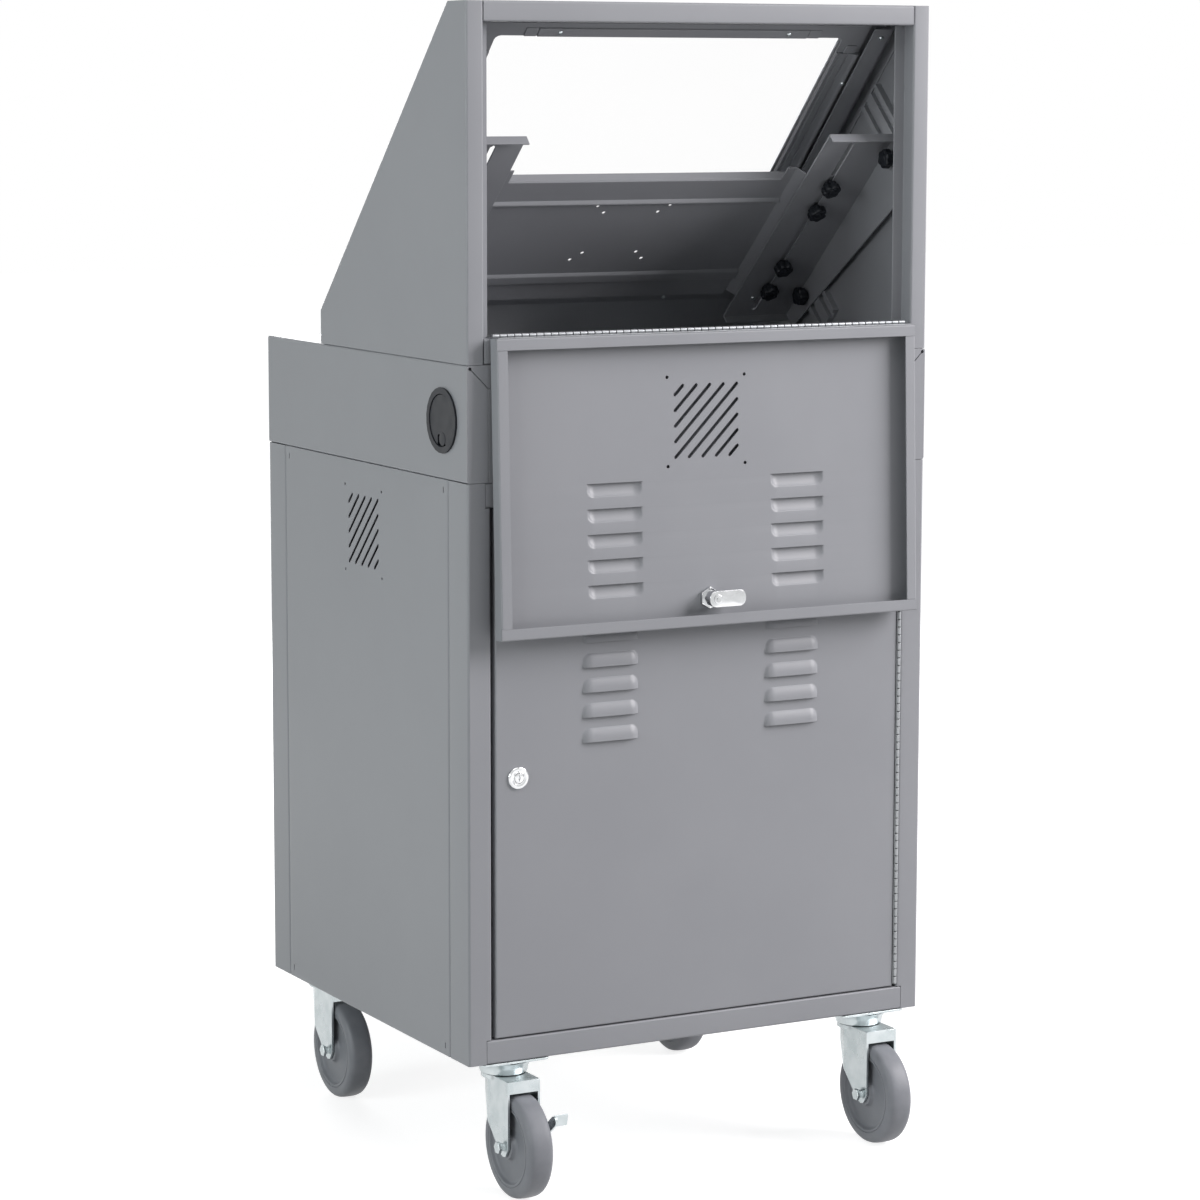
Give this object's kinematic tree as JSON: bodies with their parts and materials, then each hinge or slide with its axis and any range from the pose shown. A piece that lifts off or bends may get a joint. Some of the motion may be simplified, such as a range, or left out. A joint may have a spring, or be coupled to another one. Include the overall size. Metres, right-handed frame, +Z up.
{
  "type": "mobile computer cabinet",
  "caption": "Sheet-metal computer cabinet on swivel casters with locking louvered doors, a keyboard drawer, a sloping window hood and an adjustable monitor mount inside.",
  "frame": {"origin": "on the floor, under the middle of the cabinet's overall box", "axes": "+X to the operator's right, +Y from the operator's front to the rear doors, +Z up"},
  "size_m": [0.628, 0.6434, 1.397],
  "materials": {
    "grey_paint": "smooth semi-gloss powder coat",
    "zinc_plate": "bright zinc plate",
    "chrome": "polished",
    "grey_rubber": "smooth moulded",
    "black_plastic": "fine matt",
    "clear_plastic": "clear polished sheet"
  },
  "bodies": {
    "cabinet": {"base_pan": "grey_paint", "deck": "grey_paint", "shelf": "grey_paint", "post_rear_right": "grey_paint", "post_rear_left": "grey_paint", "post_front_right": "grey_paint", "post_front_left": "grey_paint", "side_panel_right": "grey_paint", "side_panel_left": "grey_paint", "band_shell": "grey_paint", "band_rear_panel": "grey_paint", "grommet_ring_right": "black_plastic", "grommet_ring_left": "black_plastic", "hood_side_right": "grey_paint", "hood_side_left": "grey_paint", "hood_top": "grey_paint", "hood_sill": "grey_paint", "window_panel": "grey_paint", "window_pane": "clear_plastic", "window_retainer": "grey_paint", "drawer_slide_right": "zinc_plate", "drawer_slide_left": "zinc_plate", "caster_plate_rear_right": "zinc_plate", "caster_plate_rear_left": "zinc_plate", "caster_plate_front_right": "zinc_plate", "caster_plate_front_left": "zinc_plate"},
    "rear_upper_lock": {"rear_upper_lock": "chrome"},
    "rear_lower_lock": {"rear_lower_lock": "chrome"},
    "front_lock": {"front_lock": "chrome"},
    "rear_upper_door": {"rear_upper_door": "grey_paint"},
    "rear_lower_door": {"rear_lower_door": "grey_paint"},
    "front_door": {"front_door": "grey_paint"},
    "keyboard_drawer": {"keyboard_drawer": "grey_paint"},
    "monitor_plate": {"monitor_plate": "grey_paint"},
    "monitor_bracket_right": {"monitor_bracket_right": "grey_paint"},
    "monitor_bracket_left": {"monitor_bracket_left": "grey_paint"},
    "grommet_cap_right": {"grommet_cap_right": "black_plastic"},
    "grommet_cap_left": {"grommet_cap_left": "black_plastic"},
    "brake_lever_rear_right": {"brake_lever_rear_right": "zinc_plate"},
    "brake_lever_front_left": {"brake_lever_front_left": "zinc_plate"},
    "plate_knob_right_1": {"plate_knob_right_1": "black_plastic"},
    "plate_knob_right_2": {"plate_knob_right_2": "black_plastic"},
    "plate_knob_right_3": {"plate_knob_right_3": "black_plastic"},
    "plate_knob_right_4": {"plate_knob_right_4": "black_plastic"},
    "plate_knob_left_1": {"plate_knob_left_1": "black_plastic"},
    "plate_knob_left_2": {"plate_knob_left_2": "black_plastic"},
    "plate_knob_left_3": {"plate_knob_left_3": "black_plastic"},
    "plate_knob_left_4": {"plate_knob_left_4": "black_plastic"},
    "side_knob_right_1": {"side_knob_right_1": "black_plastic"},
    "side_knob_right_2": {"side_knob_right_2": "black_plastic"},
    "side_knob_left_1": {"side_knob_left_1": "black_plastic"},
    "side_knob_left_2": {"side_knob_left_2": "black_plastic"},
    "wheel_rear_right": {"wheel_rear_right": "grey_rubber"},
    "wheel_rear_left": {"wheel_rear_left": "grey_rubber"},
    "wheel_front_right": {"wheel_front_right": "grey_rubber"},
    "wheel_front_left": {"wheel_front_left": "grey_rubber"},
    "fork_rear_right": {"fork_rear_right": "zinc_plate"},
    "fork_rear_left": {"fork_rear_left": "zinc_plate"},
    "fork_front_right": {"fork_front_right": "zinc_plate"},
    "fork_front_left": {"fork_front_left": "zinc_plate"}
  },
  "joints": [
    {"name": "rear_upper_door_hinge", "type": "hinge", "parent": "cabinet", "child": "rear_upper_door", "pos_m": [0, 0.25445, 1.018], "axis": [1, 0, 0], "range_deg": [0, 178]},
    {"name": "rear_upper_lock_turn", "type": "hinge", "parent": "rear_upper_door", "child": "rear_upper_lock", "pos_m": [0, 0.26654, 0.70023], "axis": [0, -0.9994, -0.0349], "range_deg": [0, 90]},
    {"name": "rear_lower_door_hinge", "type": "hinge", "parent": "cabinet", "child": "rear_lower_door", "pos_m": [-0.27825, 0.25445, 0.506], "axis": [0, 0, 1], "range_deg": [0, 0.4]},
    {"name": "rear_lower_lock_turn", "type": "hinge", "parent": "rear_lower_door", "child": "rear_lower_lock", "pos_m": [0.24635, 0.25345, 0.502], "axis": [0, 1, 0], "range_deg": [-90, 0]},
    {"name": "front_door_hinge", "type": "hinge", "parent": "cabinet", "child": "front_door", "pos_m": [0.27825, -0.31905, 0.506], "axis": [0, 0, 1], "range_deg": [0, 110]},
    {"name": "front_lock_turn", "type": "hinge", "parent": "front_door", "child": "front_lock", "pos_m": [-0.24635, -0.31805, 0.502], "axis": [0, -1, 0], "range_deg": [-90, 0]},
    {"name": "keyboard_drawer_slide", "type": "slide", "parent": "cabinet", "child": "keyboard_drawer", "axis": [0, -1, 0], "range_m": [0, 0.32]},
    {"name": "monitor_bracket_right_slide", "type": "slide", "parent": "cabinet", "child": "monitor_bracket_right", "axis": [0, 0.7176, -0.6965], "range_m": [-0.04, 0.005]},
    {"name": "monitor_bracket_left_slide", "type": "slide", "parent": "cabinet", "child": "monitor_bracket_left", "axis": [0, 0.7176, -0.6965], "range_m": [-0.04, 0.005]},
    {"name": "monitor_plate_slide", "type": "slide", "parent": "monitor_bracket_right", "child": "monitor_plate", "axis": [0, 0.7361, 0.6769], "range_m": [-0.02, 0.07]},
    {"name": "plate_knob_right_1_turn", "type": "hinge", "parent": "monitor_plate", "child": "plate_knob_right_1", "pos_m": [0.244, 0.13445, 1.18172], "axis": [0, 0.6769, -0.7361], "continuous": true},
    {"name": "plate_knob_right_2_turn", "type": "hinge", "parent": "monitor_plate", "child": "plate_knob_right_2", "pos_m": [0.244, 0.10206, 1.15194], "axis": [0, 0.6769, -0.7361], "continuous": true},
    {"name": "plate_knob_right_3_turn", "type": "hinge", "parent": "monitor_plate", "child": "plate_knob_right_3", "pos_m": [0.244, 0.0233, 1.07952], "axis": [0, 0.6769, -0.7361], "continuous": true},
    {"name": "plate_knob_right_4_turn", "type": "hinge", "parent": "monitor_plate", "child": "plate_knob_right_4", "pos_m": [0.244, -0.01056, 1.04838], "axis": [0, 0.6769, -0.7361], "continuous": true},
    {"name": "side_knob_right_1_turn", "type": "hinge", "parent": "monitor_bracket_right", "child": "side_knob_right_1", "pos_m": [0.29835, 0.19495, 1.21344], "axis": [1, 0, 0], "continuous": true},
    {"name": "side_knob_right_2_turn", "type": "hinge", "parent": "monitor_bracket_right", "child": "side_knob_right_2", "pos_m": [0.29835, -0.0043, 1.03566], "axis": [1, 0, 0], "continuous": true},
    {"name": "grommet_cap_right_turn", "type": "hinge", "parent": "cabinet", "child": "grommet_cap_right", "pos_m": [0.31155, 0.1897, 0.9177], "axis": [1, 0, 0], "continuous": true},
    {"name": "plate_knob_left_1_turn", "type": "hinge", "parent": "monitor_plate", "child": "plate_knob_left_1", "pos_m": [-0.244, 0.13445, 1.18172], "axis": [0, 0.6769, -0.7361], "continuous": true},
    {"name": "plate_knob_left_2_turn", "type": "hinge", "parent": "monitor_plate", "child": "plate_knob_left_2", "pos_m": [-0.244, 0.10206, 1.15194], "axis": [0, 0.6769, -0.7361], "continuous": true},
    {"name": "plate_knob_left_3_turn", "type": "hinge", "parent": "monitor_plate", "child": "plate_knob_left_3", "pos_m": [-0.244, 0.0233, 1.07952], "axis": [0, 0.6769, -0.7361], "continuous": true},
    {"name": "plate_knob_left_4_turn", "type": "hinge", "parent": "monitor_plate", "child": "plate_knob_left_4", "pos_m": [-0.244, -0.01056, 1.04838], "axis": [0, 0.6769, -0.7361], "continuous": true},
    {"name": "side_knob_left_1_turn", "type": "hinge", "parent": "monitor_bracket_left", "child": "side_knob_left_1", "pos_m": [-0.29835, 0.19495, 1.21344], "axis": [1, 0, 0], "continuous": true},
    {"name": "side_knob_left_2_turn", "type": "hinge", "parent": "monitor_bracket_left", "child": "side_knob_left_2", "pos_m": [-0.29835, -0.0043, 1.03566], "axis": [1, 0, 0], "continuous": true},
    {"name": "grommet_cap_left_turn", "type": "hinge", "parent": "cabinet", "child": "grommet_cap_left", "pos_m": [-0.31155, 0.1897, 0.9177], "axis": [1, 0, 0], "continuous": true},
    {"name": "swivel_rear_right", "type": "hinge", "parent": "cabinet", "child": "fork_rear_right", "pos_m": [0.2486, 0.2187, 0.15], "axis": [0, 0, 1], "continuous": true},
    {"name": "wheel_spin_rear_right", "type": "hinge", "parent": "fork_rear_right", "child": "wheel_rear_right", "pos_m": [0.2486, 0.2587, 0.06296], "axis": [1, 0, 0], "continuous": true},
    {"name": "swivel_rear_left", "type": "hinge", "parent": "cabinet", "child": "fork_rear_left", "pos_m": [-0.2486, 0.2187, 0.15], "axis": [0, 0, 1], "continuous": true},
    {"name": "wheel_spin_rear_left", "type": "hinge", "parent": "fork_rear_left", "child": "wheel_rear_left", "pos_m": [-0.2486, 0.2587, 0.06296], "axis": [1, 0, 0], "continuous": true},
    {"name": "swivel_front_right", "type": "hinge", "parent": "cabinet", "child": "fork_front_right", "pos_m": [0.2486, -0.2833, 0.15], "axis": [0, 0, 1], "continuous": true},
    {"name": "wheel_spin_front_right", "type": "hinge", "parent": "fork_front_right", "child": "wheel_front_right", "pos_m": [0.2486, -0.2433, 0.06296], "axis": [1, 0, 0], "continuous": true},
    {"name": "swivel_front_left", "type": "hinge", "parent": "cabinet", "child": "fork_front_left", "pos_m": [-0.2486, -0.2833, 0.15], "axis": [0, 0, 1], "continuous": true},
    {"name": "wheel_spin_front_left", "type": "hinge", "parent": "fork_front_left", "child": "wheel_front_left", "pos_m": [-0.2486, -0.2433, 0.06296], "axis": [1, 0, 0], "continuous": true},
    {"name": "brake_rear_right_press", "type": "hinge", "parent": "fork_rear_right", "child": "brake_lever_rear_right", "pos_m": [0.2486, 0.2587, 0.06296], "axis": [1, 0, 0], "range_deg": [-25, 0]},
    {"name": "brake_front_left_press", "type": "hinge", "parent": "fork_front_left", "child": "brake_lever_front_left", "pos_m": [-0.2486, -0.2433, 0.06296], "axis": [1, 0, 0], "range_deg": [-25, 0]}
  ],
  "couplings": [
    {"joint": "monitor_bracket_left_slide", "follows": "monitor_bracket_right_slide", "ratio": 1}
  ]
}
